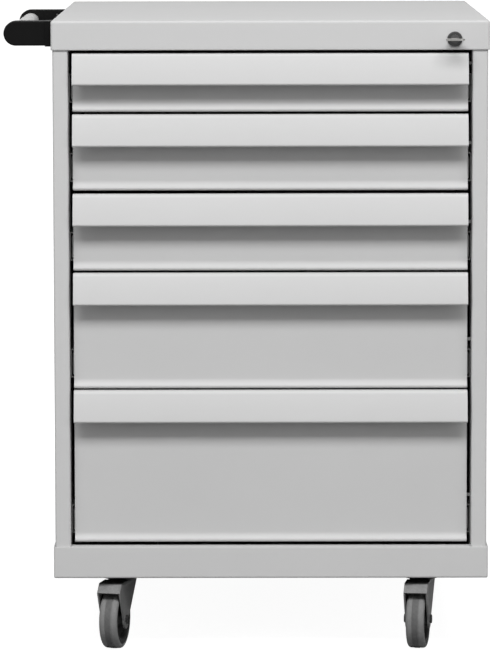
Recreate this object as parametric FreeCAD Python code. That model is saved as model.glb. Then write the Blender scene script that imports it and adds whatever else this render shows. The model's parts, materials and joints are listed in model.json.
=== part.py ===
import FreeCAD, Part
import math
import os

# Rolling tool cabinet with five drawers, a central lock, a side handle and four swivel castors.
# Lengths are in millimetres and angles in degrees.
# Each piece is built in the cabinet's own place: X to the right seen from the front, with 0 on the
# body's middle, Y to the back, with 0 on the front face, and Z up from the floor.
# All pieces are then moved together, so that the origin is on the floor under the middle of the whole.

# Driving dimensions of the housing
width = 550.0
depth = 665.0
body_height = 706.0
castor_height = 95.0
cap_height = 37.0
base_height = 40.0
outer_sheet = 2.0
side_sheet = 1.5
inner_sheet = 1.2
stile_width = 19.5
return_depth = 20.0
bend = 1.0

# Driving dimensions of the drawers, from the top one down
drawer_steps = [77.0, 100.0, 100.0, 149.0, 199.0]
gap = 4.0
tray_length = 600.0
tray_below_front_top = 10.0
tray_above_front_foot = 8.0
rail_space = 12.7
rail_height = 36.0
rail_foot = 10.0
rail_length = 560.0
rail_front = 30.0
rail_overrun = 20.0
rail_clearance = 1.2
web_gap = 1.6
flange_gap = 2.6
middle_rail_inset = 4.0
inner_rail_inset = 7.5

# Profile of a drawer front: grip lip, recessed face and turned-out foot
lip_height = 40.0
lip_top_y = 2.0
lip_foot_y = -6.0
face_y = 16.0
foot_slope = 10.0
foot_y = 4.0
front_sheet = 1.5

# Central lock, its bar and the keys
lock_x = 231.0
lock_below_top = 23.5
lock_ring_radius = 9.5
lock_ring_depth = 3.0
barrel_radius = 8.0
barrel_length = 22.0
plug_radius = 5.5
running_fit = 0.05
cam_throw = 8.0
catch_foot = 50.0
catch_height = 5.0
catch_y = 32.0
bar_x = 257.0
bar_y = 26.0
key_thickness = 2.2
bow_width = 23.0
bow_length = 22.0
bow_corner = 6.0
bow_hole = 8.0
key_neck = 5.6
key_neck_half = 4.5
blade_half = 4.0
blade_thickness = 2.0

# Side handle
handle_reach = 60.0
bracket_height = 31.0
bracket_depth = 24.0
bracket_below_top = 1.0
bracket_front_y = 18.0
bracket_spacing = 365.0
tube_radius = 11.0
tube_wall = 2.0
socket_floor = 4.0
foot_length = 6.0
foot_thickness = 8.0
screw_head_radius = 2.6
screw_head = 2.0
screw_spacing = 16.0

# Castors
wheel_radius = 37.5
wheel_width = 23.5
tread_thickness = 5.5
castor_inset_x = 80.5
castor_inset_y = 60.0
castor_trail = 30.0
castor_turns = {"front_left": -13.0, "front_right": -9.0, "rear_left": -7.0, "rear_right": -10.0}
fork_sheet = 2.0
fork_gap = 26.5
crown_top = 80.0
crown_front = -46.0
crown_rear = 22.0
leg_tip_radius = 12.0
hood_foot_y = -56.0
hood_foot_z = 72.0
axle_radius = 4.0
axle_head = 2.5
hub_boss = 9.5
hub_web_half = 5.0
hub_rim = 5.0
tread_band_half = 3.5
tread_band_rise = 0.5
kingpin_radius = 5.0
plate_thickness = 2.5
plate_margin = 10.0
plate_corner = 6.0
raceway_height = 5.5
raceway_radius = 16.0
raceway_gap = 0.3
bolt_radius = 4.0
bolt_hole_radius = 4.3
bolt_head = 2.2
nut_height = 6.0
bolt_end = 9.0
bolt_corner = 7.5
lever_pin_radius = 2.0
lever_boss = 5.5
lever_reach = 8.0
lever_angle = 48.0
lever_clearance = 2.0
bolt_spacing_x = 56.0
bolt_spacing_y = 44.0

# Places worked out from the driving dimensions
top = castor_height + body_height
body_half = width / 2 - outer_sheet
opening_half = body_half - stile_width
front_half = opening_half - gap
tray_half = opening_half - rail_space
middle_web = opening_half - inner_sheet - web_gap
rail_flange = tray_half + flange_gap
base_top = castor_height + base_height
lock_z = top - lock_below_top
castor_x = body_half - castor_inset_x
handle_z = top - bracket_below_top - bracket_height / 2
front_reach = lock_ring_depth + key_neck + bow_length
placing = FreeCAD.Vector(handle_reach / 2, (front_reach - depth) / 2, 0)

X_AXIS = FreeCAD.Vector(1, 0, 0)
Y_AXIS = FreeCAD.Vector(0, 1, 0)
Z_AXIS = FreeCAD.Vector(0, 0, 1)


def drawer_feet():
    """The height of each drawer front's lower edge, from the top drawer down."""
    feet = []
    level = top - cap_height
    for step in drawer_steps:
        level -= step
        feet.append(level)
    return feet


feet = drawer_feet()
front_heights = [step - gap for step in drawer_steps]


def block(x0, x1, y0, y1, z0, z1):
    """A box between two corners."""
    return Part.makeBox(x1 - x0, y1 - y0, z1 - z0, FreeCAD.Vector(x0, y0, z0))


def rod(radius, start, end):
    """A round bar between two points."""
    line = end - start
    return Part.makeCylinder(radius, line.Length, start, line)


def moved(shape, x=0.0, y=0.0, z=0.0):
    """A copy of a shape moved by an amount along each axis."""
    copy = shape.copy()
    copy.translate(FreeCAD.Vector(x, y, z))
    return copy


def mirrored(shape):
    """A copy of a shape on the other side of the cabinet's middle."""
    return shape.mirror(FreeCAD.Vector(0, 0, 0), X_AXIS)


def turned(shape, angle, x=0.0, y=0.0, z=0.0, axis=Z_AXIS):
    """A copy of a shape turned about an axis through a point."""
    copy = shape.copy()
    copy.rotate(FreeCAD.Vector(x, y, z), axis, angle)
    return copy


def fused(shapes):
    """One solid from touching shapes, with no seams left where their faces run on."""
    whole = shapes[0].multiFuse(shapes[1:])
    return whole.removeSplitter()


def outline_face(points, radii, place):
    """A flat face with corners rounded by the radii. place turns two numbers into a point in space."""
    edges = []
    count = len(points)
    starts = []
    ends = []
    middles = []
    for i in range(count):
        here = FreeCAD.Vector(points[i][0], points[i][1], 0)
        before = FreeCAD.Vector(points[i - 1][0], points[i - 1][1], 0) - here
        after = FreeCAD.Vector(points[(i + 1) % count][0], points[(i + 1) % count][1], 0) - here
        before.normalize()
        after.normalize()
        half = before.getAngle(after) / 2
        if radii[i] == 0 or abs(half - math.pi / 2) < 1e-6:
            starts.append(here)
            ends.append(here)
            middles.append(None)
            continue
        reach = radii[i] / math.tan(half)
        inward = before + after
        inward.normalize()
        centre = here + inward * (radii[i] / math.sin(half))
        starts.append(here + before * reach)
        ends.append(here + after * reach)
        middles.append(centre - inward * radii[i])
    for i in range(count):
        following = (i + 1) % count
        if middles[i] is not None:
            arc = Part.Arc(place(starts[i].x, starts[i].y), place(middles[i].x, middles[i].y),
                           place(ends[i].x, ends[i].y))
            edges.append(arc.toShape())
        if (ends[i] - starts[following]).Length > 1e-6:
            line = Part.LineSegment(place(ends[i].x, ends[i].y),
                                    place(starts[following].x, starts[following].y))
            edges.append(line.toShape())
    return Part.Face(Part.Wire(edges))


def sheet_outline(path, thickness, inner_bend):
    """The closed outline of bent sheet whose one skin follows a path and whose other lies to its left."""
    left = []
    turns = []
    last = len(path) - 1
    for i in range(last + 1):
        if i > 0:
            back = FreeCAD.Vector(path[i][0] - path[i - 1][0], path[i][1] - path[i - 1][1], 0)
            back.normalize()
        if i < last:
            ahead = FreeCAD.Vector(path[i + 1][0] - path[i][0], path[i + 1][1] - path[i][1], 0)
            ahead.normalize()
        if i == 0:
            back = ahead
        if i == last:
            ahead = back
        normal = FreeCAD.Vector(-back.y - ahead.y, back.x + ahead.x, 0)
        normal.normalize()
        stretch = thickness / (normal.x * -back.y + normal.y * back.x)
        left.append((path[i][0] + normal.x * stretch, path[i][1] + normal.y * stretch))
        turns.append(back.cross(ahead).z)
    right_radii = []
    left_radii = []
    for i in range(last + 1):
        bent = 0 < i < last
        towards_left = turns[i] > 0
        right_radii.append((inner_bend + thickness if towards_left else inner_bend) if bent else 0)
        left_radii.append((inner_bend if towards_left else inner_bend + thickness) if bent else 0)
    return list(path) + left[::-1], right_radii + left_radii[::-1]


def along_x(points, radii, x0, x1):
    """A bar with a section of (y, z) points, between two values of x."""
    face = outline_face(points, radii, lambda y, z: FreeCAD.Vector(x0, y, z))
    return face.extrude(FreeCAD.Vector(x1 - x0, 0, 0))


def along_y(points, radii, y0, y1):
    """A bar with a section of (x, z) points, between two values of y."""
    face = outline_face(points, radii, lambda x, z: FreeCAD.Vector(x, y0, z))
    return face.extrude(FreeCAD.Vector(0, y1 - y0, 0))


def along_z(points, radii, z0, z1):
    """A bar with a section of (x, y) points, between two values of z."""
    face = outline_face(points, radii, lambda x, y: FreeCAD.Vector(x, y, z0))
    return face.extrude(FreeCAD.Vector(0, 0, z1 - z0))


# Housing

def top_cap():
    """The folded top: a tray turned over, with a stiffening return behind its front apron."""
    corner = 3.0
    outer = block(-width / 2, width / 2, 0, depth, top - cap_height, top)
    rounded = []
    for edge in outer.Edges:
        box = edge.BoundBox
        if box.ZMax > top - 0.01:
            rounded.append(edge)
    outer = outer.makeFillet(corner, rounded)
    inside = block(-body_half, body_half, outer_sheet, depth - outer_sheet,
                   top - cap_height, top - outer_sheet)
    shell = outer.cut(inside)
    lower_return = block(-body_half, body_half, outer_sheet, outer_sheet + return_depth,
                         top - cap_height, top - cap_height + side_sheet)
    notch = block(opening_half, body_half, outer_sheet, outer_sheet + return_depth,
                  top - cap_height, top - cap_height + side_sheet)
    lower_return = lower_return.cut(notch).cut(mirrored(notch))
    lock_hole = rod(barrel_radius + running_fit, FreeCAD.Vector(lock_x, -1, lock_z),
                    FreeCAD.Vector(lock_x, outer_sheet + 1, lock_z))
    return fused([shell, lower_return]).cut(lock_hole)


def right_side():
    """A side wall bent from one sheet: front stile with its return, wall, and rear flange."""
    path = [(opening_half, outer_sheet + return_depth), (opening_half, outer_sheet),
            (body_half, outer_sheet), (body_half, depth - outer_sheet),
            (opening_half, depth - outer_sheet)]
    points, radii = sheet_outline(path, side_sheet, bend)
    return along_z(points, radii, castor_height + outer_sheet, top - outer_sheet)


def back_panel():
    """The flat rear wall, held in front of the side walls' rear flanges."""
    rear = depth - outer_sheet - side_sheet
    panel_half = body_half - side_sheet - gap / 2
    return block(-panel_half, panel_half, rear - inner_sheet, rear,
                 castor_height + outer_sheet, top - outer_sheet)


def base_pan():
    """The base: a tray with upright walls all round and a return behind its front wall."""
    corner = 2.0
    outer = block(-width / 2, width / 2, 0, depth, castor_height, base_top)
    upright_edges = []
    for edge in outer.Edges:
        box = edge.BoundBox
        if box.ZMin < castor_height + 0.01:
            upright_edges.append(edge)
    outer = outer.makeFillet(corner, upright_edges)
    inside = block(-body_half, body_half, outer_sheet, depth - outer_sheet,
                   castor_height + outer_sheet, base_top)
    shell = outer.cut(inside)
    upper_return = block(-opening_half, opening_half, outer_sheet, outer_sheet + return_depth,
                         base_top - side_sheet, base_top)
    pan = fused([shell, upper_return])
    for x, y in castor_places().values():
        pan = pan.cut(bolt_holes(x, y, castor_height - 1, castor_height + outer_sheet + 1))
    return pan


def castor_channels():
    """Two channels on the base's floor that spread the castors' load."""
    half = 42.0
    height = 24.0
    start = outer_sheet + return_depth + 5
    end = depth - outer_sheet - 5
    floor_level = castor_height + outer_sheet
    path = [(castor_x - half, floor_level + height), (castor_x - half, floor_level),
            (castor_x + half, floor_level), (castor_x + half, floor_level + height)]
    points, radii = sheet_outline(path, outer_sheet, bend)
    channel = along_y(points, radii, start, end)
    for y in (castor_inset_y, depth - castor_inset_y):
        channel = channel.cut(bolt_holes(castor_x, y, floor_level - 1, floor_level + outer_sheet + 1))
    return [channel, mirrored(channel)]


def upright(y0):
    """A channel that stands inside a side wall and carries the drawer rails."""
    upright_depth = 30.0
    wall = body_half - side_sheet
    path = [(opening_half, y0 + upright_depth), (wall, y0 + upright_depth), (wall, y0), (opening_half, y0)]
    points, radii = sheet_outline(path[::-1], side_sheet, bend)
    channel = along_z(points, radii, castor_height + outer_sheet, top - outer_sheet)
    web = block(opening_half, opening_half + side_sheet, y0 + side_sheet, y0 + upright_depth - side_sheet,
                castor_height + outer_sheet, top - outer_sheet)
    return fused([channel, web])


def upright_places():
    """The front of each of the two uprights on one side."""
    return [bar_y + 14.0, depth - 75.0]


def bar_guides():
    """Two clips on the right front upright in which the lock bar slides."""
    clearance = 0.3
    wall = 1.6
    height = 8.0
    guides = []
    for z in (feet[1] + 20, feet[4] + 80):
        outer = block(bar_x - clearance - wall, bar_x + 3 + clearance + wall, bar_y - clearance - wall,
                      upright_places()[0], z, z + height)
        hole = block(bar_x - clearance, bar_x + 3 + clearance, bar_y - clearance,
                     bar_y + 12 + clearance, z - 1, z + height + 1)
        guides.append(outer.cut(hole))
    return guides


def right_uprights():
    front, rear = [upright(y) for y in upright_places()]
    return [fused([front] + bar_guides()), rear]


def left_uprights():
    return [mirrored(upright(y)) for y in upright_places()]


# Drawer rails: three nested channels on each side of a drawer

def rail(web_x, flange_x, half_height, length, number):
    """A channel rail on the right, whose web is at web_x and whose flanges end at flange_x."""
    inner_bend = 0.4
    middle_z = feet[number] + rail_foot + rail_height / 2
    path = [(flange_x, middle_z + half_height), (web_x, middle_z + half_height),
            (web_x, middle_z - half_height), (flange_x, middle_z - half_height)]
    if flange_x < web_x:
        path = path[::-1]
    points, radii = sheet_outline(path, inner_sheet, inner_bend)
    return along_y(points, radii, rail_front, rail_front + length)


def cabinet_rail(number):
    return rail(opening_half, rail_flange, rail_height / 2, rail_length + rail_overrun, number)


def middle_rail(number):
    return rail(middle_web, rail_flange, rail_height / 2 - middle_rail_inset, rail_length, number)


def inner_rail(number):
    flange = middle_web - inner_sheet - rail_clearance
    return rail(tray_half, flange, rail_height / 2 - inner_rail_inset, rail_length, number)


def both_sides(shape):
    return [shape, mirrored(shape)]


# Drawers

def drawer_front(number):
    """The front bent from one sheet: hanging grip lip, recessed face and turned-out foot."""
    foot = feet[number] + front_sheet
    head = feet[number] + front_heights[number]
    back = face_y + front_sheet
    path = [(lip_foot_y, head - lip_height), (lip_top_y, head), (back, head), (back, foot + foot_slope),
            (foot_y + front_sheet, foot), (back, foot)]
    points, radii = sheet_outline(path[::-1], front_sheet, bend)
    return along_x(points, radii, -front_half, front_half)


def drawer_tray(number):
    """The open tray behind a front, with a lock catch on its right side."""
    foot = feet[number] + tray_above_front_foot
    head = feet[number] + front_heights[number] - tray_below_front_top
    start = face_y + front_sheet
    outer = block(-tray_half, tray_half, start, start + tray_length, foot, head)
    inside = block(-tray_half + inner_sheet, tray_half - inner_sheet, start + inner_sheet,
                   start + tray_length - inner_sheet, foot + inner_sheet, head)
    catch_level = feet[number] + catch_foot
    catch = block(tray_half, tray_half + 9, catch_y, catch_y + 3, catch_level, catch_level + catch_height)
    return fused([outer.cut(inside), catch])


# Central lock

def lock_body():
    """The barrel with its front ring."""
    ring = Part.makeCylinder(lock_ring_radius, lock_ring_depth,
                             FreeCAD.Vector(lock_x, -lock_ring_depth, lock_z), Y_AXIS)
    front_edges = [e for e in ring.Edges if e.BoundBox.YMax < -lock_ring_depth + 0.01]
    ring = ring.makeFillet(1.0, front_edges)
    barrel = Part.makeCylinder(barrel_radius, barrel_length, FreeCAD.Vector(lock_x, 0, lock_z), Y_AXIS)
    bore = Part.makeCylinder(plug_radius + running_fit, barrel_length + 20,
                             FreeCAD.Vector(lock_x, -10, lock_z), Y_AXIS)
    return fused([ring, barrel]).cut(bore)


def lock_nut():
    """The hexagonal nut behind the cap's apron."""
    across_corners = 11.0
    corners = []
    for i in range(7):
        angle = math.radians(60 * i)
        corners.append(FreeCAD.Vector(lock_x + across_corners * math.cos(angle), outer_sheet,
                                      lock_z + across_corners * math.sin(angle)))
    nut = Part.Face(Part.makePolygon(corners)).extrude(FreeCAD.Vector(0, 5, 0))
    bore = Part.makeCylinder(barrel_radius, 10, FreeCAD.Vector(lock_x, 0, lock_z), Y_AXIS)
    return nut.cut(bore)


def lock_plug():
    """The turning core with its keyway, and at the back the cam disc and its off-centre pin."""
    start = -lock_ring_depth
    disc_y = barrel_length + 2
    core = Part.makeCylinder(plug_radius, disc_y - start, FreeCAD.Vector(lock_x, start, lock_z), Y_AXIS)
    disc = Part.makeCylinder(8.5, 3, FreeCAD.Vector(lock_x, disc_y, lock_z), Y_AXIS)
    half_throw = cam_throw / 2
    pin = Part.makeCylinder(1.5, 11, FreeCAD.Vector(lock_x + half_throw, disc_y, lock_z + half_throw),
                            Y_AXIS)
    keyway = block(lock_x - 4.3, lock_x + 4.3, start - 1, 18.4, lock_z - 1.4, lock_z + 1.4)
    return fused([core, disc, pin]).cut(keyway)


def lock_bar():
    """The bar behind the right stile, with a slotted head for the cam pin and a finger for each drawer."""
    thickness = 3.0
    bar_width = 12.0
    head_y = barrel_length + 8
    half_throw = cam_throw / 2
    slot_half = 1.5 + 0.4
    foot = feet[4] + catch_foot - 4
    stem = block(bar_x, bar_x + thickness, bar_y, bar_y + bar_width, foot, lock_z + 9.5)
    head = block(lock_x - 8, bar_x + thickness, head_y, head_y + thickness, lock_z - 9, lock_z + 9.5)
    slot = block(lock_x + half_throw - 2.4, lock_x + half_throw + 4, head_y - 1, head_y + thickness + 1,
                 lock_z + half_throw - slot_half, lock_z + half_throw + slot_half)
    pieces = [stem, head.cut(slot)]
    for level in feet:
        finger_foot = level + catch_foot + catch_height + 2
        pieces.append(block(tray_half + 3, bar_x, bar_y, bar_y + thickness, finger_foot, finger_foot + 4))
    return fused(pieces)


def bow(middle_x, near_y, z):
    """A key's bow lying flat, with its large hole; the neck joins it at near_y."""
    half = bow_width / 2
    points = [(middle_x - half, near_y - bow_length), (middle_x + half, near_y - bow_length),
              (middle_x + half, near_y), (middle_x - half, near_y)]
    plate = along_z(points, [bow_corner] * 4, z - key_thickness / 2, z + key_thickness / 2)
    hole_foot = FreeCAD.Vector(middle_x, near_y - bow_length / 2, z - key_thickness / 2 - 1)
    hole = Part.makeCylinder(bow_hole, key_thickness + 2, hole_foot, Z_AXIS)
    return plate.cut(hole)


def lock_key():
    """The key in the lock: its bow lies level in front, and its blade has three cuts."""
    face = -lock_ring_depth
    length = 20.0
    half = key_thickness / 2
    neck = block(lock_x - key_neck_half, lock_x + key_neck_half, face - key_neck, face,
                 lock_z - half, lock_z + half)
    left = lock_x - blade_half
    right = lock_x + blade_half
    points = [(left, face), (right, face), (right, face + length - 3), (right - 3, face + length),
              (left, face + length)]
    low = lock_z - blade_thickness / 2
    blade = along_z(points, [0] * 5, low, low + blade_thickness)
    for i in range(3):
        cut_y = face + length * (0.35 + 0.2 * i)
        notch = [(right - 1.4 - 0.5 * i, cut_y), (right + 1, cut_y - 2.4), (right + 1, cut_y + 2.4)]
        cut = along_z(notch, [0] * 3, low - 1, low + blade_thickness + 1)
        blade = blade.cut(cut)
    return fused([bow(lock_x, face - key_neck, lock_z), neck, blade])


# Side handle

def handle_bracket(y0):
    """One black bracket: a foot on the side wall and an arm with a round end that holds the tube."""
    side = -width / 2
    radius = bracket_height / 2
    arm_end = side - handle_reach + radius
    points = [(side, handle_z - radius), (side, handle_z + radius),
              (side - handle_reach, handle_z + radius), (side - handle_reach, handle_z - radius)]
    arm = along_y(points, [0, 0, radius - 0.01, radius - 0.01], y0, y0 + bracket_depth)
    edges = []
    for edge in arm.Edges:
        box = edge.BoundBox
        if box.YMax < y0 + 0.01 and box.XMin < side - 1:
            edges.append(edge)
    arm = arm.makeFillet(1.5, edges)
    foot = block(side - foot_thickness, side, y0 - 1, y0 + bracket_depth + foot_length,
                 handle_z - radius - 1, handle_z + radius)
    socket = Part.makeCylinder(tube_radius, bracket_depth,
                               FreeCAD.Vector(arm_end, y0 + socket_floor, handle_z), Y_AXIS)
    return fused([arm, foot]), socket


def handle_brackets():
    """The front and rear bracket. Each holds one end of the tube in a blind socket."""
    front, socket = handle_bracket(bracket_front_y)
    front = front.cut(socket)
    flip = FreeCAD.Vector(0, bracket_front_y + bracket_depth / 2, 0)
    rear = front.mirror(flip, Y_AXIS)
    rear = moved(rear, y=bracket_spacing)
    return [front, rear]


def handle_tube():
    """The grip tube between the brackets."""
    middle_x = -width / 2 - handle_reach + bracket_height / 2
    start = bracket_front_y + socket_floor
    length = bracket_spacing + bracket_depth - 2 * socket_floor
    end = FreeCAD.Vector(middle_x, start, handle_z)
    outer = Part.makeCylinder(tube_radius, length, end, Y_AXIS)
    bore = Part.makeCylinder(tube_radius - tube_wall, length, end, Y_AXIS)
    return outer.cut(bore)


def handle_screws():
    """Two short screws in each bracket's foot, beside the arm."""
    screws = []
    face = -width / 2 - foot_thickness
    front_y = bracket_front_y + bracket_depth + foot_length / 2
    rear_y = bracket_front_y + bracket_spacing - foot_length / 2
    for y in (front_y, rear_y):
        for z in (handle_z - screw_spacing / 2, handle_z + screw_spacing / 2):
            start = FreeCAD.Vector(face - screw_head, y, z)
            head = Part.makeCylinder(screw_head_radius, screw_head, start, X_AXIS)
            socket = Part.makeCylinder(screw_head_radius / 2, 1.2, start, X_AXIS)
            screws.append(head.cut(socket))
    return screws


# Castors

def castor_places():
    """The swivel axis of each castor."""
    places = {}
    for name in castor_turns:
        x = -castor_x if name.endswith("left") else castor_x
        y = castor_inset_y if name.startswith("front") else depth - castor_inset_y
        places[name] = (x, y)
    return places


def bolt_places(x, y):
    """The four bolts about a swivel axis."""
    half_x = bolt_spacing_x / 2
    half_y = bolt_spacing_y / 2
    return [(x + i * half_x, y + j * half_y) for i in (-1, 1) for j in (-1, 1)]


def bolt_holes(x, y, z0, z1):
    """Four round cutters for a castor's bolts."""
    cutters = []
    for u, v in bolt_places(x, y):
        cutters.append(rod(bolt_hole_radius, FreeCAD.Vector(u, v, z0), FreeCAD.Vector(u, v, z1)))
    return Part.makeCompound(cutters)


def castor_plate(x, y):
    """A castor's top plate with the upper raceway pressed into it."""
    half_x = bolt_spacing_x / 2 + plate_margin
    half_y = bolt_spacing_y / 2 + plate_margin
    plate_foot = castor_height - plate_thickness
    points = [(x - half_x, y - half_y), (x + half_x, y - half_y), (x + half_x, y + half_y),
              (x - half_x, y + half_y)]
    plate = along_z(points, [plate_corner] * 4, plate_foot, castor_height)
    raceway = Part.makeCone(raceway_radius, raceway_radius + 3, raceway_height,
                            FreeCAD.Vector(x, y, plate_foot - raceway_height), Z_AXIS)
    hole = rod(kingpin_radius + running_fit, FreeCAD.Vector(x, y, crown_top),
               FreeCAD.Vector(x, y, castor_height + 1))
    whole = fused([plate, raceway]).cut(hole)
    return whole.cut(bolt_holes(x, y, plate_foot - 1, castor_height + 1))


def castor_plates():
    return [castor_plate(x, y) for x, y in castor_places().values()]


def castor_bolts():
    """A bolt with its nut at each hole of each plate."""
    head_z = castor_height - plate_thickness
    nut_z = castor_height + 2 * outer_sheet
    bolts = []
    for x, y in castor_places().values():
        for u, v in bolt_places(x, y):
            shank = rod(bolt_radius, FreeCAD.Vector(u, v, head_z), FreeCAD.Vector(u, v, nut_z + bolt_end))
            head = hexagon(u, v, head_z - bolt_head, bolt_corner, bolt_head)
            nut = hexagon(u, v, nut_z, bolt_corner, nut_height)
            bolts.append(fused([head, shank, nut]))
    return bolts


def hexagon(x, y, z, corner, height):
    """A hexagonal head or nut."""
    corners = []
    for i in range(7):
        angle = math.radians(60 * i)
        corners.append(FreeCAD.Vector(x + corner * math.cos(angle), y + corner * math.sin(angle), z))
    return Part.Face(Part.makePolygon(corners)).extrude(FreeCAD.Vector(0, 0, height))


def fork(braked):
    """A fork with its swivel axis on Z and its wheel towards the front, in one piece with its kingpin."""
    leg_x = fork_gap / 2 + fork_sheet
    crown_foot = crown_top - fork_sheet
    path = [(-leg_x, wheel_radius / 2), (-leg_x, crown_top), (leg_x, crown_top),
            (leg_x, wheel_radius / 2)]
    points, radii = sheet_outline(path[::-1], fork_sheet, 4.0)
    bent = along_y(points, radii, -80, 40)
    side = [(crown_rear, crown_top + 1), (crown_rear, crown_top - 14),
            (-castor_trail + leg_tip_radius, wheel_radius), (-castor_trail - leg_tip_radius, wheel_radius),
            (hood_foot_y, hood_foot_z), (crown_front, crown_top + 1)]
    silhouette = along_x(side, [0, 10, 0, 0, 3, 0], -30, 30)
    tip = Part.makeCylinder(leg_tip_radius, 60, FreeCAD.Vector(-30, -castor_trail, wheel_radius), X_AXIS)
    outline = silhouette.fuse(tip)
    if braked:
        y, z = brake_pivot()
        outline = outline.fuse(rod(lever_boss, FreeCAD.Vector(-30, y, z), FreeCAD.Vector(30, y, z)))
    legs = bent.common(outline)
    race_top = castor_height - plate_thickness - raceway_height - raceway_gap
    raceway = Part.makeCone(raceway_radius + 1, raceway_radius, race_top - crown_top,
                            FreeCAD.Vector(0, 0, crown_top), Z_AXIS)
    kingpin = rod(kingpin_radius, FreeCAD.Vector(0, 0, crown_foot - 0.5),
                  FreeCAD.Vector(0, 0, castor_height - 0.5))
    pieces = [legs, raceway, kingpin]
    if not braked:
        pieces.append(hood())
    hole = rod(axle_radius, FreeCAD.Vector(-30, -castor_trail, wheel_radius),
               FreeCAD.Vector(30, -castor_trail, wheel_radius))
    whole = fused(pieces).cut(hole)
    if braked:
        pin_hole = rod(lever_pin_radius + running_fit, FreeCAD.Vector(-30, y, z),
                       FreeCAD.Vector(30, y, z))
        whole = whole.cut(pin_hole)
    return whole


def hood():
    """The crown's sheet running on over the wheel and bent down in front of it."""
    rear_y = -20.0
    half = fork_gap / 2 + fork_sheet - 0.01
    path = [(rear_y, crown_top), (crown_front, crown_top), (hood_foot_y, hood_foot_z)]
    points, radii = sheet_outline(path, fork_sheet, 3.0)
    return along_x(points, radii, -half, half)


def axle():
    """The axle through the fork, with a low head outside each leg."""
    leg_x = fork_gap / 2 + fork_sheet
    shank = rod(axle_radius, FreeCAD.Vector(-leg_x - 1, -castor_trail, wheel_radius),
                FreeCAD.Vector(leg_x + 1, -castor_trail, wheel_radius))
    head = hexagon(0, 0, 0, axle_radius + 1.6, axle_head)
    right_head = moved(turned(head, 90, axis=Y_AXIS), leg_x, -castor_trail, wheel_radius)
    left_head = moved(turned(head, -90, axis=Y_AXIS), -leg_x, -castor_trail, wheel_radius)
    return fused([shank, right_head, left_head])


def spun(points, radii):
    """A ring about the axle, from a section of (x along the axle, distance from it)."""
    face = outline_face(points, radii, lambda x, r: FreeCAD.Vector(x, -castor_trail, wheel_radius + r))
    return face.revolve(FreeCAD.Vector(0, -castor_trail, wheel_radius), X_AXIS, 360)


def hub():
    """The wheel's centre: boss, web, and a broad rim that fills the wheel out to the tread."""
    boss_half = fork_gap / 2 - 0.5
    boss = hub_boss
    web_half = hub_web_half
    rim_outer = wheel_radius - tread_thickness
    rim_inner = rim_outer - hub_rim
    rim_half = wheel_width / 2 - 0.6
    bore = axle_radius + running_fit
    points = [(-boss_half, bore), (boss_half, bore), (boss_half, boss), (web_half, boss + 2),
              (web_half, rim_inner - 2), (rim_half, rim_inner), (rim_half, rim_outer),
              (-rim_half, rim_outer), (-rim_half, rim_inner), (-web_half, rim_inner - 2),
              (-web_half, boss + 2), (-boss_half, boss)]
    return spun(points, [0, 0, 1, 1.5, 1.5, 0.8, 0, 0, 0.8, 1.5, 1.5, 1])


def tyre():
    """The solid tread ring round the hub, with rounded shoulders and a slightly raised middle band."""
    half = wheel_width / 2
    rim_outer = wheel_radius - tread_thickness
    shoulder = wheel_radius - tread_band_rise
    band = tread_band_half
    points = [(-half, rim_outer), (half, rim_outer), (half, shoulder), (band + 1, shoulder),
              (band, wheel_radius), (-band, wheel_radius), (-band - 1, shoulder), (-half, shoulder)]
    return spun(points, [0, 0, 3, 0, 0, 0, 0, 3])


def brake_pivot():
    """The brake lever's pin: its y and z in the castor's own place."""
    reach = wheel_radius + lever_reach
    angle = math.radians(lever_angle)
    return -castor_trail - reach * math.cos(angle), wheel_radius + reach * math.sin(angle)


def brake():
    """The foot brake of a rear castor, pressed down: lever, shoe on the tread and its pin."""
    half = fork_gap / 2 - lever_clearance
    y, z = brake_pivot()
    shoe_reach = wheel_radius + 0.3
    points = [(y + 4.5, z + 2.5), (y - 4.0, z + 3.0), (y - 32.0, z - 4.0), (y - 32.0, z - 7.5),
              (y - 8.0, z - 5.0), (y - 3.6, z - 14.3), (y + 3.4, z - 11.3), (y + 4.5, z - 2.0)]
    lever = along_x(points, [2, 2, 1.5, 1.5, 3, 0, 0, 1], -half, half)
    wheel = Part.makeCylinder(shoe_reach, 2 * half + 2,
                              FreeCAD.Vector(-half - 1, -castor_trail, wheel_radius), X_AXIS)
    leg_x = fork_gap / 2 + fork_sheet
    pin = rod(lever_pin_radius, FreeCAD.Vector(-leg_x - 1, y, z), FreeCAD.Vector(leg_x + 1, y, z))
    return fused([lever.cut(wheel), pin])


def at_castor(shape, name):
    """A castor piece turned and moved to its place under the base."""
    x, y = castor_places()[name]
    return moved(turned(shape, castor_turns[name]), x, y)


# All pieces, by name

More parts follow.
